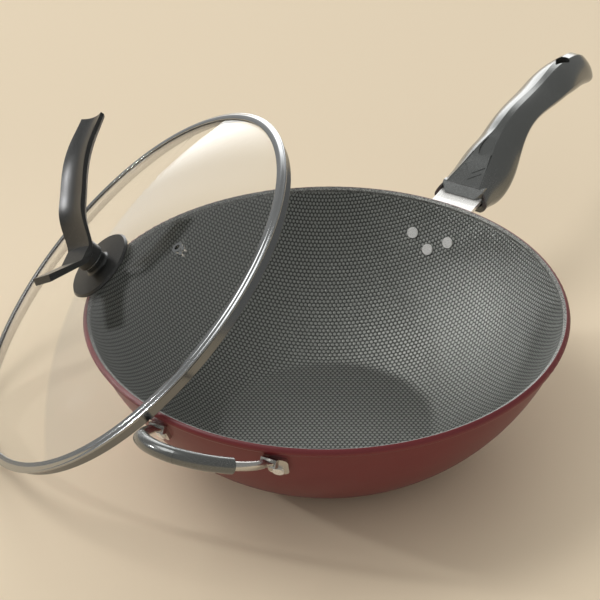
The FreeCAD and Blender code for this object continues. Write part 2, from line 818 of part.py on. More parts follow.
# Marks sunk in the flat panel: a line along each of its edges, two
# chevrons that point at the bowl, and an oval where the panel ends.
marks = new_sketch(handle_grip, "panel_marks", "XY_Plane", turn="-panel_slope")
marks.setExpression(".AttachmentOffset.Base.x", bind("rim_radius+lip_along"))
marks.setExpression(".AttachmentOffset.Base.z", bind(f"{lip_top}-mark_depth*cos(panel_slope)"))
for side, sign in (("left", ""), ("right", "-")):
    add_outline(marks, [
        ("crease_start", f"{sign}crease_start_half"),
        ("crease_end", f"{sign}crease_end_half"),
        ("crease_end", f"{sign}(crease_end_half-crease_width)"),
        ("crease_start", f"{sign}(crease_start_half-crease_width)"),
    ], tag=f"_{side}_crease_")
for k in range(2):
    point = f"(chevron_along+{k}*chevron_pitch)"
    arm_end = f"({point}+chevron_reach)"
    add_outline(marks, [
        (point, "0"),
        (arm_end, "-chevron_half"),
        (f"{arm_end}+chevron_width", "-chevron_half"),
        (f"{point}+chevron_width*1.6", "0"),
        (f"{arm_end}+chevron_width", "chevron_half"),
        (arm_end, "chevron_half"),
    ], tag=f"_{k}_chevron_")
add_outline(marks, [
    ("oval_along-oval_half", "-oval_end"),
    ("oval_along+oval_half", "-oval_end"),
    ("oval_along+oval_half", "oval_end"),
    ("oval_along-oval_half", "oval_end"),
], arcs={0: "oval_side_bend", 1: "oval_end_bend", 2: "oval_side_bend", 3: "oval_end_bend"}, tag="_oval_")
uncut = handle_grip.Tip.Shape.Volume
push_up(handle_grip, "marks_cut", marks, "mark_depth*8")
if handle_grip.Tip.Shape.Volume >= uncut:
    raise ValueError("the marks cut nothing")

# ------------------------------------------------ helper handle
# Its bow lies in a plane that tilts up, away from the bowl.
leg_out = "(rim_radius-1)"
bow_start = f"({leg_out}*cos(leg_angle))"
bow_half = f"({leg_out}*sin(leg_angle))"
leg_height = "(rim_height-leg_drop)"
FACING = "placement(vector(0; 0; 0); rotation(helper_azimuth; 0; 0))"
BOW = f"{FACING} * placement(vector({bow_start}; 0; {leg_height}); rotation(0; -helper_tilt; 0))"
arc_in = f"({bow_half}-rod_corner)"


def add_bow_path(body, tag, turn):
    """The bow's centre line: two corners and the run between them, each
    corner begun a turn late, and with both legs where nothing is left off."""
    path = new_sketch(body, f"{tag}_path", "XY_Plane")
    leg, corner, inset = number("rod_leg"), number("rod_corner"), number(arc_in)
    late = math.radians(number(turn))
    up = FreeCAD.Vector(0, 0, 1)
    run = path.addGeometry(Part.LineSegment(FreeCAD.Vector(leg + corner, inset, 0),
                                            FreeCAD.Vector(leg + corner, -inset, 0)), False)
    upper = path.addGeometry(Part.ArcOfCircle(Part.Circle(FreeCAD.Vector(leg, inset, 0), up, corner),
                                              0, math.pi / 2 - late), False)
    lower = path.addGeometry(Part.ArcOfCircle(Part.Circle(FreeCAD.Vector(leg, -inset, 0), up, corner),
                                              late - math.pi / 2, 0), False)
    path.addConstraint([Sketcher.Constraint("Coincident", upper, 1, run, 1),
                        Sketcher.Constraint("Coincident", lower, 2, run, 2)])
    spots = [(run, 1, "rod_leg+rod_corner", arc_in), (run, 2, "rod_leg+rod_corner", f"-{arc_in}")]
    start_x = f"rod_leg+rod_corner*sin({turn})"
    start_y = f"({arc_in}+rod_corner*cos({turn}))"
    if turn == "0":
        for arc, end, side in ((upper, 2, 1), (lower, 1, -1)):
            half = number(bow_half) * side
            line = path.addGeometry(Part.LineSegment(FreeCAD.Vector(number(rod_start), half, 0),
                                                     FreeCAD.Vector(leg, half, 0)), False)
            path.addConstraint(Sketcher.Constraint("Coincident", line, 2, arc, end))
            sign = "" if side > 0 else "-"
            spots += [(line, 1, rod_start, f"{sign}{bow_half}"), (line, 2, "rod_leg", f"{sign}{bow_half}")]
    else:
        spots += [(upper, 2, start_x, start_y), (lower, 1, start_x, f"-{start_y}")]
    for k, (line, end, x, y) in enumerate(spots):
        fix_value(path, "DistanceX", (line, end), x, f"across_{k}")
        fix_value(path, "DistanceY", (line, end), y, f"up_{k}")
    fix_value(path, "Radius", (upper,), "rod_corner", "bend_upper")
    fix_value(path, "Radius", (lower,), "rod_corner", "bend_lower")
    return path


def add_bow(body, tag, radius, turn, place, bore=None):
    """A round section at a place on the bow, square to it, carried along."""
    path = add_bow_path(body, tag, turn)
    ring = new_sketch(body, f"{tag}_ring", "YZ_Plane", turn=f"-({turn})")
    ring.setExpression(".AttachmentOffset.Base.z", bind(place[0]))
    ring.setExpression(".AttachmentOffset.Base.x", bind(place[1]))
    add_circle(ring, "0", "0", radius)
    if bore:
        add_circle(ring, "0", "0", bore, tag="_bore")
    pipe = body.newObject("PartDesign::AdditivePipe", f"{tag}_bow")
    pipe.Profile = ring
    pipe.Spine = (path, [])
    doc.recompute()


rod_start = "(blade_along+blade_reach)"
helper_rod = new_body("helper_rod", placement=BOW)
add_bow(helper_rod, "rod", "rod_radius", "0", (rod_start, bow_half))


def add_blade_section(name, middle, along):
    """A flat section of the rod's end, as wide as the hammered blade."""
    section = new_sketch(helper_rod, name, "YZ_Plane", offset=along)
    left = f"({middle}+blade_width/2)"
    right = f"({middle}-blade_width/2)"
    add_outline(section, [
        (right, "-blade_thickness/2"), (left, "-blade_thickness/2"),
        (left, "blade_thickness/2"), (right, "blade_thickness/2"),
    ], arcs={1: "blade_thickness*0.7", 3: "blade_thickness*0.7"})
    return section


# Each end of the rod is hammered flat into a blade that its lug holds.
for k, sign in enumerate(("", "-")):
    middle = f"({sign}{bow_half})"
    round_end = new_sketch(helper_rod, f"round_end_{k}", "YZ_Plane", offset=rod_start)
    add_circle(round_end, middle, "0", "rod_radius")
    swage = helper_rod.newObject("PartDesign::AdditiveLoft", f"swage_{k}")
    swage.Profile = round_end
    swage.Sections = [add_blade_section(f"blade_root_{k}", middle, "blade_along")]
    doc.recompute()
    blade = add_blade_section(f"blade_{k}_section", middle, "(blade_foot+blade_along)/2")
    push(helper_rod, f"blade_{k}", blade, "blade_along-blade_foot")

helper_sleeve = new_body("helper_sleeve", placement=BOW)
add_bow(helper_sleeve, "sleeve", "sleeve_radius", "sleeve_turn",
        ("rod_leg+rod_corner*sin(sleeve_turn)", f"{arc_in}+rod_corner*cos(sleeve_turn)"),
        bore="rod_radius+rod_fit")

helper_lugs = new_body("helper_lugs", several=True)
lug_top = wall_angle("lug_top_drop", "outer_bend")
lug_bottom = wall_angle("lug_bottom_drop", "outer_bend")
for k, turn in enumerate(("helper_azimuth-lug_angle", "helper_azimuth+lug_angle")):
    plate = new_sketch(helper_lugs, f"plate_{k}_profile", "XZ_Plane", turn=turn)
    add_outline(plate, [
        wall_corner("outer_bend", lug_bottom),
        wall_corner("lug_bend", lug_bottom),
        wall_corner("lug_bend", lug_top),
        wall_corner("outer_bend", lug_top),
    ], arcs={1: "lug_bend", 3: "-outer_bend"})
    revolve(helper_lugs, f"plate_{k}", plate, angle="2*lug_spread")
corner_edges = [f"Edge{k}" for k, edge in enumerate(helper_lugs.Tip.Shape.Edges, start=1)
                if abs(edge.Length - number("lug_thickness")) < 0.01]
fillet(helper_lugs, "plate_corners", corner_edges, "lug_corner")
for k, sign in enumerate(("-", "")):
    lug = (f"{FACING} * placement(vector({bow_start}; {sign}{bow_half}; {leg_height}); "
           f"rotation(0; -helper_tilt; 0))")
    box(helper_lugs, f"socket_{k}", "socket_length+socket_root", "socket_width", "socket_height",
        f"{lug} * {upright('-socket_root', '-socket_width/2', '-socket_height/2')}")
    slot_width = "(blade_width+blade_thickness*0.42+2*rod_fit)"
    slot_height = "(blade_thickness+2*rod_fit)"
    box(helper_lugs, f"socket_slot_{k}", "socket_length*2", slot_width, slot_height,
        f"{lug} * {upright('blade_foot-rod_fit', f'-{slot_width}/2', f'-{slot_height}/2')}", cut=True)
for k, (azimuth, angle) in enumerate(HELPER_RIVETS):
    cylinder(helper_lugs, f"lug_hole_{k}", "rivet_radius+rivet_fit", "wall_thickness*4",
             on_wall(azimuth, angle, "wall_bend"), cut=True)
helper_rivets = new_body("helper_rivets", several=True)
add_rivets(helper_rivets, HELPER_RIVETS, "lug_bend")

# ------------------------------------------------ lid
# The lid leans with its skirt's foot on the table and the bowl's rim just
# inside its hollow; its own frame has the flange plane at zero.
lean_z = "(table_gap+skirt_height*cos(lean_angle)+skirt_radius*sin(lean_angle))"
# A lower rim lets the lid slide over it at the same angle, by a share of
# the way, because the rim then meets the glass where it stands lower.
lean_slide = f"(slide_share*({lean_z}-rim_height-contact_rise)/tan(lean_angle))"
lean_x = ("(rim_radius*cos(contact_azimuth)+skirt_radius*sin(lean_azimuth)+lean_gap_x"
          f"-{lean_slide}*cos(lean_azimuth))")
lean_y = ("(rim_radius*sin(contact_azimuth)-skirt_radius*cos(lean_azimuth)+lean_gap_y"
          f"-{lean_slide}*sin(lean_azimuth))")
LEAN = (f"placement(vector({lean_x}; {lean_y}; {lean_z}); "
        f"rotation(lean_azimuth; lean_angle; 0) * rotation(knob_turn; 0; 0))")


def glass_top(radius, over="0"):
    """Height of a surface above the glass at a radius, in the lid frame."""
    return f"(glass_centre+sqrt((glass_bend+({over}))^2-({radius})^2))"


def glass_under(radius, below="0"):
    return f"(glass_centre+sqrt((glass_inner_bend-({below}))^2-({radius})^2))"


lid_glass = new_body("lid_glass", placement=LEAN)
cap = new_sketch(lid_glass, "cap_profile", "XZ_Plane")
add_outline(cap, [
    ("glass_hole_radius", glass_under("glass_hole_radius")),
    ("glass_radius", glass_under("glass_radius")),
    ("glass_radius", glass_top("glass_radius")),
    ("glass_hole_radius", glass_top("glass_hole_radius")),
], arcs={0: "-glass_inner_bend", 2: "glass_bend"})
revolve(lid_glass, "cap", cap)
cylinder(lid_glass, "vent_hole", "vent_tube_radius+vent_fit", "glass_thickness*4",
         on_glass("vent_azimuth", "vent_distance", "-glass_thickness*2"), cut=True)
PINS = [f"pin_azimuth{sign}pin_spread" for sign in "+-"]
for k, azimuth in enumerate(PINS):
    cylinder(lid_glass, f"pin_hole_{k}", "pin_radius+vent_fit", "glass_thickness*4",
             on_glass(azimuth, "pin_distance", "-glass_thickness*2"), cut=True)

# The band folds over the glass, swells into a bead and drops as a skirt.
lid_rim_band = new_body("lid_rim_band", placement=LEAN)
band = new_sketch(lid_rim_band, "band_profile", "XZ_Plane")
lip_in = "(glass_radius-band_lip)"
bead_under = "(-bead_thickness/2)"
add_outline(band, [
    (lip_in, glass_top(lip_in, "band_gap")),
    ("glass_radius+0.1", glass_top("glass_radius+0.1", "band_gap")),
    ("band_bore", "0.4"),
    ("band_bore", "-skirt_height"),
    ("skirt_radius", "-skirt_height"),
    ("skirt_radius", bead_under),
    ("bead_radius-bead_round", bead_under),
    ("bead_radius-bead_round", "bead_thickness/2"),
    ("skirt_radius-0.6", glass_top("skirt_radius-0.6", "band_gap+band_thickness")),
    (f"{lip_in}+0.3", glass_top(f"{lip_in}+0.3", "band_gap+band_thickness")),
], arcs={6: "bead_thickness/2+0.05"})
revolve(lid_rim_band, "band", band)

rim_gasket = new_body("rim_gasket", placement=LEAN)
seal = new_sketch(rim_gasket, "seal_profile", "XZ_Plane")
seal_in = "(glass_radius-seal_foot)"
add_outline(seal, [
    (seal_in, glass_under(seal_in, "band_gap+seal_foot_height")),
    ("band_bore-0.05", glass_under("band_bore-0.05", "band_gap+seal_foot_height")),
    ("band_bore-0.05", "0.3"),
    ("glass_radius+0.05", "0.3"),
    ("glass_radius+0.05", glass_under("glass_radius+0.05", "band_gap")),
    (seal_in, glass_under(seal_in, "band_gap")),
])
revolve(rim_gasket, "seal", seal)


def add_eyelet(body, tag, azimuth, distance, tube, flange, bore=None):
    """A tube through the glass with a flat flange on both faces."""
    flange_high = "vent_flange_height"
    cylinder(body, f"{tag}_tube", tube, f"glass_thickness+2*{flange_high}",
             on_glass(azimuth, distance, f"-glass_thickness-{flange_high}"))
    cylinder(body, f"{tag}_top", flange, flange_high, on_glass(azimuth, distance, "0.03"))
    cylinder(body, f"{tag}_under", flange, flange_high,
             on_glass(azimuth, distance, f"-glass_thickness-{flange_high}-0.03"))
    if bore:
        cylinder(body, f"{tag}_bore", bore, "glass_thickness*4",
                 on_glass(azimuth, distance, "-glass_thickness*2"), cut=True)


vent_eyelet = new_body("vent_eyelet", placement=LEAN)
add_eyelet(vent_eyelet, "vent", "vent_azimuth", "vent_distance", "vent_tube_radius", "vent_flange_radius",
           bore="vent_bore_radius")
vent_pins = new_body("vent_pins", placement=LEAN, several=True)
for k, azimuth in enumerate(PINS):
    add_eyelet(vent_pins, f"pin_{k}", azimuth, "pin_distance", "pin_radius", "pin_flange_radius")

# ------------------------------------------------ lid knob
# A pad on the glass, a disc with a short stem, a ring, and a moulded
# handle whose seat carries a long dished arm and a short foot.
knob_gasket = new_body("knob_gasket", placement=LEAN)
pad = new_sketch(knob_gasket, "pad_profile", "XZ_Plane")
add_outline(pad, [
    ("glass_hole_radius", glass_top("glass_hole_radius")),
    ("knob_pad_radius", glass_top("knob_pad_radius")),
    ("knob_pad_radius", glass_top("knob_pad_radius", "knob_pad_height")),
    ("glass_hole_radius", glass_top("glass_hole_radius", "knob_pad_height")),
], arcs={0: "-glass_bend", 2: "glass_bend+knob_pad_height"})
revolve(knob_gasket, "pad", pad)

knob_base = new_body("knob_base", placement=LEAN)
base = new_sketch(knob_base, "base_profile", "XZ_Plane")
bolt_hole = "(knob_bolt_radius+knob_bolt_fit)"
disc_edge = "(knob_disc_height*0.45)"
add_outline(base, [
    (bolt_hole, glass_top(bolt_hole, "knob_pad_height")),
    ("knob_disc_radius-0.6", glass_top("knob_disc_radius-0.6", "knob_pad_height")),
    ("knob_disc_radius", f"dome_height+{disc_edge}"),
    ("knob_disc_radius-1.2", f"dome_height+knob_disc_height"),
    ("stem_radius+stem_flare", "dome_height+knob_disc_height+0.5"),
    ("stem_radius", "dome_height+knob_disc_height+0.5+stem_flare"),
    ("stem_radius", "dome_height+stem_height"),
    (bolt_hole, "dome_height+stem_height"),
], arcs={0: "-glass_bend+knob_pad_height", 4: "-stem_flare*1.05"})
revolve(knob_base, "base", base)

knob_collar = new_body("knob_collar", placement=LEAN)
cylinder(knob_collar, "ring", "collar_ring_radius", "collar_ring_height",
         upright("0", "0", "dome_height+stem_height"))
cylinder(knob_collar, "ring_bore", bolt_hole, "collar_ring_height*3",
         upright("0", "0", "dome_height+stem_height-collar_ring_height"), cut=True)

knob_handle = new_body("knob_handle", placement=LEAN)
column_foot = "(dome_height+stem_height+collar_ring_height)"
seat_top = "(dome_height+seat_height)"
cylinder(knob_handle, "column", "column_radius", f"{seat_top}-seat_thickness/2-{column_foot}",
         upright("0", "0", column_foot))
seat = new_sketch(knob_handle, "seat_profile", "XZ_Plane")
foot_tip_x = "(-seat_back-foot_length*cos(foot_slope))"
foot_tip_z = f"({seat_top}+foot_length*sin(foot_slope))"
add_outline(seat, [
    ("-seat_back+seat_thickness*0.3", f"{seat_top}-seat_thickness"),
    ("seat_front+1", f"{seat_top}-seat_thickness"),
    ("seat_front+1", seat_top),
    ("-seat_back", seat_top),
    (foot_tip_x, foot_tip_z),
    (f"{foot_tip_x}-seat_thickness*sin(foot_slope)", f"{foot_tip_z}-seat_thickness*cos(foot_slope)"),
])
push(knob_handle, "seat_and_foot", seat, "knob_width")
foot_plan = new_sketch(knob_handle, "foot_plan", "XY_Plane", offset=seat_top)
for side, sign in (("left", ""), ("right", "-")):
    add_outline(foot_plan, [
        ("-seat_back", f"{sign}knob_width/2"),
        (f"{foot_tip_x}-seat_thickness", f"{sign}foot_tip_width/2"),
        (f"{foot_tip_x}-seat_thickness", f"{sign}knob_width"),
        ("-seat_back", f"{sign}knob_width"),
    ], tag=f"_{side}_")
push(knob_handle, "foot_taper", foot_plan, "seat_height*3", kind="PartDesign::Pocket")

ARM_STATIONS = ["heel", "bend", "climb", "arm", "crest", "level", "end"]
arm_sections = []
for station in ARM_STATIONS:
    section = new_sketch(knob_handle, f"{station}_section", "YZ_Plane", offset=f"{station}_along")
    top = f"(dome_height+{station}_top)"
    floor = f"(dome_height+{station}_top-{station}_deep)"
    edge = f"({station}_half-arm_edge)"
    add_outline(section, [
        (f"-{edge}*0.85", floor), (f"{edge}*0.85", floor),
        (f"{station}_half", f"{floor}+{station}_deep*0.5"),
        (edge, top), (f"-{edge}", top),
        (f"-{station}_half", f"{floor}+{station}_deep*0.5"),
    ], arcs={3: f"-({edge}^2+{station}_dish^2)/(2*{station}_dish)"})
    arm_sections.append(section)
arm = knob_handle.newObject("PartDesign::AdditiveLoft", "arm_loft")
arm.Profile = arm_sections[0]
arm.Sections = arm_sections[1:]
doc.recompute()

knob_insert_foot = f"({column_foot}+0.3)"
cylinder(knob_handle, "insert_hole", "knob_insert_radius+knob_bolt_fit", "knob_insert_length+0.6+1",
         upright("0", "0", f"{column_foot}-1"), cut=True)
knob_insert = new_body("knob_insert", placement=LEAN)
cylinder(knob_insert, "sleeve", "knob_insert_radius", "knob_insert_length", upright("0", "0", knob_insert_foot))
cylinder(knob_insert, "bore", bolt_hole, "knob_insert_length+2", upright("0", "0", f"{knob_insert_foot}-1"), cut=True)

# Under the glass: a soft washer, a steel one, a spring washer, the screw.
inner_pad_foot = "(" + glass_under("inner_pad_radius") + "-inner_pad_height)"
inner_gasket = new_body("inner_gasket", placement=LEAN)
inner = new_sketch(inner_gasket, "inner_profile", "XZ_Plane")
add_outline(inner, [
    ("washer_hole_radius", inner_pad_foot),
    ("inner_pad_radius", inner_pad_foot),
    ("inner_pad_radius", glass_under("inner_pad_radius")),
    ("washer_hole_radius", glass_under("washer_hole_radius")),
], arcs={2: "glass_inner_bend"})
revolve(inner_gasket, "inner", inner)


def add_washer(body, radius, height, foot):
    cylinder(body, "plate", radius, height, upright("0", "0", foot))
    cylinder(body, "hole", "washer_hole_radius", f"{height}*3", upright("0", "0", f"{foot}-{height}"), cut=True)


washer_foot = f"({inner_pad_foot}-inner_washer_height)"
inner_washer = new_body("inner_washer", placement=LEAN)
add_washer(inner_washer, "inner_washer_radius", "inner_washer_height", washer_foot)
spring_foot = f"({washer_foot}-spring_washer_height)"
spring_washer = new_body("spring_washer", placement=LEAN)
add_washer(spring_washer, "spring_washer_radius", "spring_washer_height", spring_foot)
knob_screw = new_body("knob_screw", placement=LEAN)
cylinder(knob_screw, "head", "knob_bolt_head_radius", "knob_bolt_head_height",
         upright("0", "0", f"{spring_foot}-knob_bolt_head_height"))
cylinder(knob_screw, "shank", "knob_bolt_radius", f"{knob_insert_foot}+knob_bolt_reach-{spring_foot}",
         upright("0", "0", spring_foot))

# ------------------------------------------------ checks and files
doc.recompute()
for item in doc.Objects:
    if {"Invalid", "Error"} & set(item.State):
        raise ValueError(f"{item.Label} failed: {item.State}")
pieces = [item for item in doc.Objects if item.TypeId == "PartDesign::Body"]
for piece in pieces:
    if piece.Shape.isNull() or not piece.Shape.isValid():
        raise ValueError(f"{piece.Label} has no sound shape")
os.makedirs("parts", exist_ok=True)
for piece in pieces:
    piece.Shape.exportStep(f"parts/{piece.Label}.step")
    print(f"{piece.Label}: {len(piece.Shape.Solids)} solid, {piece.Shape.Volume:.0f} mm3")
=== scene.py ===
"""The looks of a hand wok: a deep burgundy bowl with a dark dotted coating,
gunmetal handles and a clear domed lid that leans on the bowl's rim."""
import math

import bpy
import numpy as np
from mathutils import Matrix, Vector


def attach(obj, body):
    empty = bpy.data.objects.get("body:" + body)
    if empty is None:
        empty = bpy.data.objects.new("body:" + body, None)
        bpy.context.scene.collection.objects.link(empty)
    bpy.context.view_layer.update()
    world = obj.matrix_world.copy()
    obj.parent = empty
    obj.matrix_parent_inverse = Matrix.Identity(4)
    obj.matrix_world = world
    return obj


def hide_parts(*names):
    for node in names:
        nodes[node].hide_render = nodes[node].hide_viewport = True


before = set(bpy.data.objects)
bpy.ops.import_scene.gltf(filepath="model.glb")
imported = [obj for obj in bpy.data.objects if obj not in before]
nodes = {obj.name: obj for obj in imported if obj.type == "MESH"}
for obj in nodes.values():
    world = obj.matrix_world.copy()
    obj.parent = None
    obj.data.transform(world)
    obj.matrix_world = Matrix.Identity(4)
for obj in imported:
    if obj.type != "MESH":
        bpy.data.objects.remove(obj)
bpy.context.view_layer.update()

# Sizes in metres, in the frame of the solids.
BOWL_BEND = 0.160            # radius of the wall's arc
BOWL_CENTRE_OUT = 0.00631    # the arc's centre, from the bowl's axis
BOWL_CENTRE_UP = 0.14847     # and above the table
FLOOR_EDGE = 0.074
FLOOR_HEIGHT = 0.0035
LIP_INNER = 0.1578
LIP_SPLIT = 0.1602           # where the grey lip ends and the red bead starts
LIP_HEIGHT = 0.0962
DOT_PITCH = 0.0032
LID_CENTRE = (-0.05176, 0.12625, 0.10415)
GLASS_BEND = 0.4260          # radius of the glass's upper face
GLASS_CENTRE = -0.4001       # its centre, along the lid's axle
SHEET = 0.0008               # the band's sheet steel
BAND_LIP = 0.1409            # where the band's lip ends on the glass
BAND_CLEARANCE = 0.00005     # between that lip and the glass
BEAD_INNER = 0.1436          # where the bead starts
BEAD_RADIUS = 0.1476         # its widest place
GROOVE_DEPTH = 0.0007
TUCK_IN = 0.0028             # how far the bead comes back under itself
TUCK_DOWN = 0.0016
SKIRT_RADIUS = 0.1441
SKIRT_FLARE = 0.0011         # how much wider the skirt starts
FLARE_DOWN = 0.0010
SKIRT_FOOT = -0.0080
LINING_FOOT = -0.0030        # the skirt's inner face, from here
LINING_TOP = -0.0002         # to here
SKIRT_SHADE_EDGE = -0.0012   # the band's steel is darker below this: painted shade on the skirt
PROFILE_STEPS = 24           # points in each curve of the band's profile
LATHE_TURNS = 320            # and places round the axle
LID_AXES = (
    (0.8996, 0.1247, 0.4186),
    (0.1338, 0.8337, -0.5358),
    (-0.4158, 0.5380, 0.7333),
)
MIX_SHARE, MIX_LOW, MIX_HIGH, MIX_RESULT = 0, 6, 7, 2    # a colour Mix node's sockets


# ---------------------------------------------------------------- materials
class Wire:
    """One output of a material's node.  Arithmetic on it adds Math nodes."""

    def __init__(self, paint, socket):
        self.paint = paint
        self.socket = socket

    def math(self, operation, *others):
        return self.paint.math(operation, self, *others)

    def __add__(self, other):
        return self.math("ADD", other)

    def __radd__(self, other):
        return self.math("ADD", other)

    def __sub__(self, other):
        return self.math("SUBTRACT", other)

    def __rsub__(self, other):
        return self.paint.math("SUBTRACT", other, self)

    def __mul__(self, other):
        return self.math("MULTIPLY", other)

    def __truediv__(self, other):
        return self.math("DIVIDE", other)

    def above(self, edge, soft):
        """0 below the edge and 1 above it, smoothly over the soft width."""
        return self.paint.node("ShaderNodeMapRange", interpolation_type="SMOOTHSTEP",
                               Value=self, From_Min=edge - soft / 2, From_Max=edge + soft / 2)


class Wiring:
    """A node tree and the means to put nodes in it."""

    def __init__(self, tree):
        self.tree = tree

    def put(self, socket, value):
        if isinstance(value, Wire):
            self.tree.links.new(value.socket, socket)
        else:
            socket.default_value = value

    def node(self, kind, output=0, **settings):
        """Any other node: its inputs by name, with _ for a space, and its options."""
        new = self.tree.nodes.new(kind)
        for name, value in settings.items():
            if hasattr(new, name):
                setattr(new, name, value)
        for name, value in settings.items():
            plain = name.replace("_", " ")
            if plain in new.inputs and not hasattr(new, name):
                self.put(new.inputs[plain], value)
        return Wire(self, new.outputs[output])

    def math(self, operation, *values):
        new = self.tree.nodes.new("ShaderNodeMath")
        new.operation = operation
        for socket, value in zip(new.inputs, values):
            self.put(socket, value)
        return Wire(self, new.outputs[0])

    def split(self, vector):
        new = self.tree.nodes.new("ShaderNodeSeparateXYZ")
        self.put(new.inputs[0], vector)
        return tuple(Wire(self, out) for out in new.outputs)

    def join(self, x, y, z):
        return self.node("ShaderNodeCombineXYZ", X=x, Y=y, Z=z)

    def noise(self, vector, scale, detail=2.0, rough=0.5):
        return self.node("ShaderNodeTexNoise", Vector=vector, Scale=scale,
                         Detail=detail, Roughness=rough)

    def blend(self, share, low, high):
        """The low colour or value where the share is 0, the high one where it is 1."""
        new = self.tree.nodes.new("ShaderNodeMix")
        new.data_type = "RGBA"
        self.put(new.inputs[MIX_SHARE], share)
        self.put(new.inputs[MIX_LOW], low)
        self.put(new.inputs[MIX_HIGH], high)
        return Wire(self, new.outputs[MIX_RESULT])


class Paint(Wiring):
    """A material with one Principled shader, placed by its object's own axes."""

    def __init__(self, name, **constants):
        self.material = bpy.data.materials.new(name)
        self.material.use_nodes = True
        super().__init__(self.material.node_tree)
        self.shader = self.tree.nodes["Principled BSDF"]
        self.output = self.tree.nodes["Material Output"]
        for socket, value in constants.items():
            self.shader.inputs[socket.replace("_", " ")].default_value = value
        self.place = self.node("ShaderNodeTexCoord", output="Object")

    def set(self, **wires):
        for socket, value in wires.items():
            self.put(self.shader.inputs[socket.replace("_", " ")], value)

    def bump(self, height, strength, distance):
        new = self.tree.nodes.new("ShaderNodeBump")
        new.inputs["Strength"].default_value = strength
        new.inputs["Distance"].default_value = distance
        self.put(new.inputs["Height"], height)
        self.put(self.shader.inputs["Normal"], Wire(self, new.outputs[0]))

    def on_lid(self):
        """The point in the lid's own axes: two across it and one along its axle."""
        x, y, z = self.split(self.place)
        x, y, z = x - LID_CENTRE[0], y - LID_CENTRE[1], z - LID_CENTRE[2]
        return tuple(x * a[0] + y * a[1] + z * a[2] for a in LID_AXES)


def shade(red, green, blue):
    """A colour written as on a screen, 0 to 255, as the shader takes it."""
    def linear(c):
        c /= 255
        return c / 12.92 if c <= 0.04045 else ((c + 0.055) / 1.055) ** 2.4
    return (linear(red), linear(green), linear(blue), 1.0)


def add_object(name, data):
    new = bpy.data.objects.new(name, data)
    bpy.context.scene.collection.objects.link(new)
    return new


def dress(material, *names):
    """Give every slot of the named nodes this material."""
    for name in names:
        for place in nodes[name].material_slots:
            place.material = material


def dot_lattice(paint, u, v, pitch):
    """The distance to the nearest point of a six-sided lattice, over the
    pitch: the smaller of the distances to two square-cornered lattices,
    one shifted by half a cell from the other."""
    tall = pitch * math.sqrt(3)
    near = []
    for shift in (0.0, 0.5):
        across = ((u / pitch + shift).math("FRACT") - 0.5)
        along = ((v / tall + shift).math("FRACT") - 0.5) * math.sqrt(3)
        near.append((across * across + along * along).math("SQRT"))
    return near[0].math("MINIMUM", near[1])


def shell_material():
    """Satin burgundy outside; inside a dark coating raised in fine dots."""
    paint = Paint("burgundy_shell", IOR=1.5)
    x, y, z = paint.split(paint.place)
    out = (x * x + y * y).math("SQRT")
    face = paint.node("ShaderNodeTexCoord", output="Normal")
    nx, ny, nz = paint.split(face)
    inward = nz - (nx * x + ny * y) / (out + 1e-5)
    inside = inward.above(0.0, 0.05) * (1 - out.above(LIP_SPLIT, 0.0004))
    lip = z.above(LIP_HEIGHT, 0.0006) * inside * out.above(LIP_INNER - 0.0002, 0.0006)

    turn = (out - BOWL_CENTRE_OUT).math("ARCTAN2", BOWL_CENTRE_UP - z)
    first = math.atan2(FLOOR_EDGE - BOWL_CENTRE_OUT, BOWL_CENTRE_UP - FLOOR_HEIGHT)
    climb = (turn - first) * BOWL_BEND + FLOOR_EDGE
    wall = out.above(FLOOR_EDGE - 0.003, 0.004)
    reach = out + (climb - out) * wall
    u = reach * x / (out + 1e-5)
    v = reach * y / (out + 1e-5)
    gap = dot_lattice(paint, u, v, DOT_PITCH)
    dot = 1 - gap.above(0.36, 0.28)
    grain = paint.noise(paint.place, 2600.0, 3.0)
    cloud = paint.noise(paint.place, 14.0, 2.0)
    glint = paint.noise(paint.place, 900.0, 1.0).above(0.70, 0.04)
    coat_dark = paint.blend(cloud, shade(60, 62, 60), shade(70, 72, 69))
    coat_pale = paint.blend(grain, shade(134, 136, 132), shade(154, 156, 151))
    coating = paint.blend(dot, coat_dark, coat_pale)
    coating = paint.blend(glint * 0.5, coating, shade(170, 172, 166))
    speckle = paint.noise(paint.place, 1500.0, 2.0).above(0.5, 0.2)
    rim_grey = paint.blend(speckle, shade(70, 72, 70), shade(150, 150, 145))
    red = paint.blend(cloud, shade(96, 24, 29), shade(106, 28, 34))
    red = paint.blend(grain.above(0.62, 0.1) * 0.25, red, shade(140, 70, 72))
    colour = paint.blend(inside, red, coating)
    colour = paint.blend(lip, colour, rim_grey)
    rough = 0.36 + inside * 0.12 + grain * 0.08 - dot * inside * 0.06
    paint.set(Base_Color=colour, Roughness=rough, Metallic=inside * 0.6)
    height = dot * inside * (1 - lip) + grain * 0.06
    paint.bump(height, 0.7, 0.0003)
    return paint.material


def steel_material(name, tint, rough, around=None, metal=1.0):
    """Steel with fine scratches along X, or round the lid's axle and then
    darker on the skirt, where shade is painted into the steel's colour."""
    paint = Paint(name, Metallic=metal)
    if around == "lid":
        across, along, up = paint.on_lid()
        out = (across * across + along * along).math("SQRT")
        turn = along.math("ARCTAN2", across)
        scratch = paint.noise(paint.join(out * 6.0, up * 6.0, turn * 0.02), 900.0, 3.0)
    else:
        x, y, z = paint.split(paint.place)
        scratch = paint.noise(paint.join(x * 0.08, y * 3.0, z * 3.0), 700.0, 3.0)
    tone = paint.noise(paint.place, 30.0, 2.0)
    dull = tuple(0.86 * c for c in tint[:3]) + (1.0,)
    colour = paint.blend(tone, dull, tint)
    # painted shade: the skirt that turns down is darkened in its colour
    if around == "lid":
        painted_skirt_shade = tuple(0.45 * c for c in tint[:3]) + (1.0,)
        colour = paint.blend(up.above(SKIRT_SHADE_EDGE, 0.001), painted_skirt_shade, colour)
    paint.set(Base_Color=colour, Roughness=rough + (scratch - 0.5) * 0.22)
    paint.bump(scratch, 0.05, 0.0001)
    return paint.material


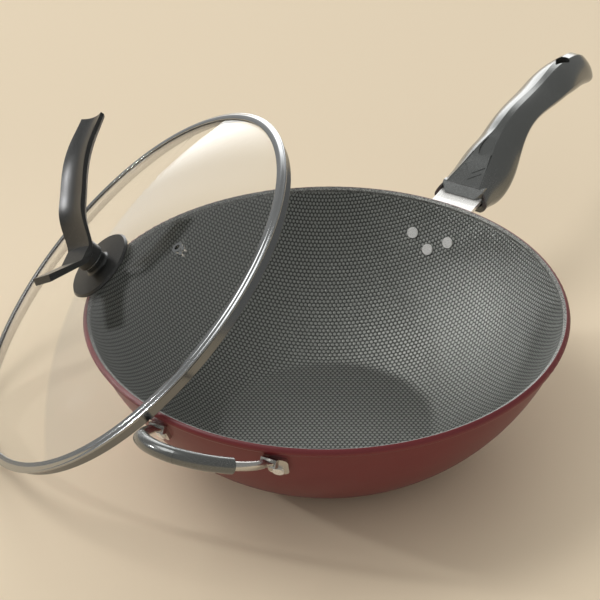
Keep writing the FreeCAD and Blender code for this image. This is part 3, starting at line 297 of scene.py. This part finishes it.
def lacquer_material(name, low, high, metal, rough):
    """Moulded plastic under a lacquer with a fine metallic grain."""
    paint = Paint(name, Metallic=metal, IOR=1.5, Coat_Weight=metal * 0.45, Coat_Roughness=0.16)
    grain = paint.noise(paint.place, 3200.0, 2.0)
    tone = paint.noise(paint.place, 22.0, 2.0)
    colour = paint.blend(tone, low, high)
    colour = paint.blend(grain.above(0.64, 0.08) * 0.30, colour, shade(150, 150, 146))
    paint.set(Base_Color=colour, Roughness=rough + (grain - 0.5) * 0.12 + (tone - 0.5) * 0.10)
    paint.bump(grain, 0.10, 0.0001)
    return paint.material


def rubber_material():
    paint = Paint("seal_rubber", Roughness=0.6)
    grain = paint.noise(paint.place, 1800.0, 3.0)
    paint.set(Base_Color=paint.blend(grain, shade(40, 40, 40), shade(58, 58, 57)))
    paint.bump(grain, 0.2, 0.0001)
    return paint.material


def brass_material():
    paint = Paint("brass", Metallic=1.0)
    grain = paint.noise(paint.place, 400.0, 3.0)
    colour = paint.blend(grain, shade(190, 158, 92), shade(214, 184, 120))
    paint.set(Base_Color=colour, Roughness=0.25 + grain * 0.2)
    return paint.material


def glass_material():
    """Clear glass that lets the lamps' light through to the table."""
    paint = Paint("lid_glass", IOR=1.45, Transmission_Weight=1.0)
    smear = paint.noise(paint.place, 9.0, 3.0)
    tint = paint.blend(smear, shade(250, 252, 251), shade(255, 255, 255))
    paint.set(Base_Color=tint, Roughness=smear * 0.02)
    clear = paint.tree.nodes.new("ShaderNodeBsdfTransparent")
    clear.inputs[0].default_value = (0.96, 0.96, 0.96, 1.0)
    shadow = paint.node("ShaderNodeLightPath", output="Is Shadow Ray")
    spread = paint.node("ShaderNodeLightPath", output="Is Diffuse Ray")
    mix = paint.tree.nodes.new("ShaderNodeMixShader")
    paint.put(mix.inputs[0], shadow.math("MAXIMUM", spread))
    paint.tree.links.new(paint.shader.outputs[0], mix.inputs[1])
    paint.tree.links.new(clear.outputs[0], mix.inputs[2])
    paint.tree.links.new(mix.outputs[0], paint.output.inputs["Surface"])
    return paint.material


def lathe(name, radius, height, turns=LATHE_TURNS):
    """A closed profile turned round the lid's axle: a point is the centre plus
    radius * (cos a * X + sin a * Y) + height * Z, with the lid's own axes."""
    across, along, axle = np.array(LID_AXES)
    angle = np.linspace(0, 2 * np.pi, turns, endpoint=False)[:, None, None]
    spoke = np.cos(angle) * across + np.sin(angle) * along
    place = LID_CENTRE + spoke * radius[None, :, None] + axle * height[None, :, None]
    count = len(radius)
    turn, step = np.meshgrid(np.arange(turns), np.arange(count), indexing="ij")
    ahead, above = (turn + 1) % turns, (step + 1) % count
    corners = (turn, step), (ahead, step), (ahead, above), (turn, above)
    quads = np.stack([ring * count + point for ring, point in corners], -1)
    mesh = bpy.data.meshes.new(name)
    mesh.from_pydata(place.reshape(-1, 3).tolist(), [], quads.reshape(-1, 4).tolist())
    mesh.shade_smooth()
    return add_object(name, mesh)


def band_profile():
    """The rolled band: a round lip on the glass, a quarter ellipse with a shallow
    groove down to the bead's edge, a smaller one back under it, then the skirt
    with a round hem."""
    turn = np.linspace(0, np.pi / 2, PROFILE_STEPS)
    rest = GLASS_CENTRE + np.sqrt(GLASS_BEND ** 2 - BAND_LIP ** 2) + BAND_CLEARANCE
    nose = SHEET / 2
    lip = BAND_LIP + nose - nose * np.sin(2 * turn), rest + nose - nose * np.cos(2 * turn)
    top = rest + SHEET
    crown = (
        BEAD_INNER + (BEAD_RADIUS - BEAD_INNER) * np.sin(turn),
        top * np.cos(turn) - GROOVE_DEPTH * np.sin(2 * turn) ** 4,
    )
    tuck = BEAD_RADIUS - TUCK_IN * (1 - np.cos(turn)), -TUCK_DOWN * np.sin(turn)
    neck = (
        SKIRT_RADIUS + SKIRT_FLARE * (1 - np.sin(turn)),
        -TUCK_DOWN - FLARE_DOWN * (1 - np.cos(turn)),
    )
    hem = (
        SKIRT_RADIUS - nose + nose * np.cos(2 * turn),
        SKIRT_FOOT + nose - nose * np.sin(2 * turn),
    )
    lining = np.full(2, SKIRT_RADIUS - SHEET), np.array([LINING_FOOT, LINING_TOP])
    parts = (lip, crown, tuck, neck, hem, lining)
    return [np.concatenate(values) for values in zip(*parts)]


rim_band = lathe("rolled_band", *band_profile())
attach(rim_band, "lid")
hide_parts("lid_rim_band")

dress(shell_material(), "wok_pan")
dress(steel_material("bracket_steel", shade(250, 249, 246), 0.24, metal=0.75), "handle_bracket")
dress(steel_material("rivet_aluminium", shade(240, 239, 236), 0.30, metal=0.6),
      "handle_rivets", "helper_rivets")
steel = steel_material("steel", shade(206, 204, 200), 0.22)
dress(steel, "helper_rod", "helper_lugs", "handle_screw", "knob_screw", "inner_washer", "spring_washer")
band_steel = steel_material("band_steel", shade(176, 178, 179), 0.16, "lid")
rim_band.data.materials.append(band_steel)
dress(band_steel, "vent_eyelet", "vent_pins", "knob_collar")
dress(lacquer_material("handle_plastic", shade(98, 100, 99), shade(112, 114, 113), 0.75, 0.25),
      "handle_grip", "helper_sleeve")
dress(lacquer_material("knob_plastic", shade(22, 23, 23), shade(31, 32, 32), 0.0, 0.32),
      "knob_base", "knob_handle")
dress(rubber_material(), "rim_gasket", "knob_gasket", "inner_gasket")
dress(brass_material(), "handle_insert", "knob_insert")
dress(glass_material(), "lid_glass")


# ------------------------------------------------------- floor, light, camera
def floor_sheet(half):
    """A square sheet at the height of the table: x and y run from -half to half."""
    corners = np.array([(-half, -half, 0), (half, -half, 0), (half, half, 0), (-half, half, 0)])
    mesh = bpy.data.meshes.new("floor")
    mesh.from_pydata(corners.tolist(), [], [(0, 1, 2, 3)])
    floor = add_object("floor", mesh)
    paint = Paint("floor_paint", Roughness=0.9)
    paint.shader.inputs["Specular IOR Level"].default_value = 0.1
    cloud = paint.noise(paint.place, 1.5, 1.0)
    paint.set(Base_Color=paint.blend(cloud, shade(226, 210, 184), shade(232, 216, 190)))
    mesh.materials.append(paint.material)
    return floor


# The camera's own axes and its place.
RIGHT = Vector((0.50821765, -0.86114326, -0.0121291))
UP = Vector((0.47497108, 0.26850823, 0.83803687))
BACK = Vector((-0.71841304, -0.4316661, 0.54547877))
EYE = Vector((-1.16887, -0.68063, 0.98621))

FLOOR_HALF = 6.0
CENTRE = Vector((0, 0, 0.08))    # what the key lamp faces
KEY_PLACE = CENTRE + Vector((-0.78, 2.86, 4.26))
KEY_SIDE = 2.6
KEY_POWER = 89
SPOT_PLACE = Vector((-1.0, 3.0, 1.35))
SPOT_AIM = Vector((0.085, -0.105, 0.055))    # on the bowl's far wall from the spot
SPOT_POWER = 480
SPOT_CONE = 0.110
SPOT_BULB = 0.25
ROOM_LIGHT = (0.62, 0.61, 0.59, 1.0)
ROOM_MIRRORED = (0.33, 0.33, 0.32, 1.0)
SOFT_LIGHT = (0.70, 0.70, 0.70, 1.0)
STRONG_LIGHT = (3.6, 3.6, 3.56, 1.0)


def add_lamp(name, kind, place, aim, power):
    """A lamp of one kind that faces the aim."""
    lamp = add_object(name, bpy.data.lights.new(name, kind))
    lamp.data.energy = power
    lamp.location = place
    lamp.rotation_euler = (aim - place).to_track_quat("-Z", "Y").to_euler()
    return lamp.data


floor_sheet(FLOOR_HALF)
key = add_lamp("key", "AREA", KEY_PLACE, CENTRE, KEY_POWER)
key.shape = "SQUARE"
key.size = KEY_SIDE
key.color = (1.0, 0.99, 0.98)
spot = add_lamp("wall_spot", "SPOT", SPOT_PLACE, SPOT_AIM, SPOT_POWER)
spot.spot_size = SPOT_CONE
spot.spot_blend = 1.0
spot.shadow_soft_size = SPOT_BULB

# The room: dim, and dimmer in mirrors, with one broad low light behind the
# lid that grows stronger towards the handle.  Its edges are upright, at
# angles in radians from the X axis.
world = bpy.data.worlds.new("studio")
bpy.context.scene.world = world
world.use_nodes = True
sky = Wiring(world.node_tree)
east, north, high = sky.split(sky.node("ShaderNodeTexCoord", output="Generated"))
angle = north.math("ARCTAN2", east)
low = angle.above(0.25, 0.3) * (1 - high.above(0.55, 0.35))
soft = low * (1 - angle.above(1.14, 0.12))
strong = low * (1 - angle.above(0.90, 0.25))
seen = sky.node("ShaderNodeLightPath", output="Is Camera Ray")
mirrored = sky.node("ShaderNodeLightPath", output="Is Glossy Ray")
dim = sky.blend(mirrored, ROOM_LIGHT, ROOM_MIRRORED)
light = sky.blend(soft, dim, SOFT_LIGHT)
light = sky.blend(strong, light, STRONG_LIGHT)
room = world.node_tree.nodes["Background"]
sky.put(room.inputs["Color"], sky.blend(seen, light, shade(226, 211, 187)))

camera_data = bpy.data.cameras.new("camera")
camera_data.lens = 144
camera_data.sensor_width = 36
camera_data.clip_end = 50
camera = add_object("camera", camera_data)
axes = Matrix((RIGHT, UP, BACK)).transposed().to_4x4()
camera.matrix_world = Matrix.Translation(EYE) @ axes
bpy.context.scene.camera = camera
bpy.context.scene.view_settings.view_transform = "Standard"
